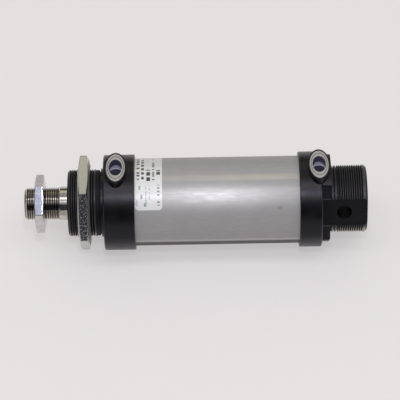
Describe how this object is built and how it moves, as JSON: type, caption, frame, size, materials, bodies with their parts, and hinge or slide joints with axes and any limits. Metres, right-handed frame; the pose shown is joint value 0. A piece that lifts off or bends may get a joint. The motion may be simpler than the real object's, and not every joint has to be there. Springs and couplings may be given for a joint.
{
  "type": "pneumatic cylinder",
  "caption": "Round double-acting pneumatic cylinder with black moulded heads, a threaded nose and rod end with their nuts, and a flatted rear boss with a pivot hole.",
  "frame": {"origin": "on the cylinder's axis, in the plane of the front head's mounting shoulder", "axes": "+X along the axis towards the rear head, the rod points to -X, both ports point to +Z"},
  "size_m": [0.2287, 0.067, 0.0665],
  "materials": {
    "satin_grey_tube": "satin grey anodised",
    "black_moulding": "fine moulded grain",
    "insert_metal": "bright turned, slightly worn",
    "zinc_plate": "zinc plated, scratched",
    "polished_rod": "polished",
    "bush_bronze": "sintered, oiled",
    "seal_rubber": "matt black",
    "wiper_rubber": "matt black",
    "bumper_rubber": "matt",
    "piston_plastic": "machined acetal",
    "wear_ring_plastic": "filled low-friction plastic",
    "magnet_ferrite": "dark ferrite",
    "label_film": "white printed film"
  },
  "bodies": {
    "barrel": {"barrel_tube": "satin_grey_tube", "front_head": "black_moulding", "rear_head": "black_moulding", "front_port_insert": "insert_metal", "rear_port_insert": "insert_metal", "rod_wiper": "wiper_rubber", "rod_seal": "seal_rubber", "rod_bush": "bush_bronze", "front_head_ring": "seal_rubber", "rear_head_ring": "seal_rubber", "front_bumper": "bumper_rubber", "rear_bumper": "bumper_rubber", "rating_label": "label_film"},
    "piston_seals": {"piston_seal_front": "seal_rubber", "piston_seal_rear": "seal_rubber", "piston_wear_ring": "wear_ring_plastic"},
    "rod": {"piston_rod": "polished_rod", "piston_front_half": "piston_plastic", "piston_rear_half": "piston_plastic", "piston_magnet": "magnet_ferrite", "piston_rod_ring": "seal_rubber", "piston_washer": "zinc_plate", "piston_nut": "zinc_plate"},
    "rod_nut": {"rod_nut": "zinc_plate"},
    "mounting_nut": {"mounting_nut": "zinc_plate"}
  },
  "joints": [
    {"name": "rod_slide", "type": "slide", "parent": "barrel", "child": "piston_seals", "axis": [-1, 0, 0], "range_m": [0, 0.08]},
    {"name": "rod_turn", "type": "hinge", "parent": "piston_seals", "child": "rod", "pos_m": [0, 0, 0], "axis": [1, 0, 0], "continuous": true},
    {"name": "rod_nut_turn", "type": "hinge", "parent": "rod", "child": "rod_nut", "pos_m": [-0.0431, 0, 0], "axis": [1, 0, 0], "continuous": true},
    {"name": "mounting_nut_turn", "type": "hinge", "parent": "barrel", "child": "mounting_nut", "pos_m": [-0.0132, 0, 0], "axis": [1, 0, 0], "continuous": true}
  ]
}
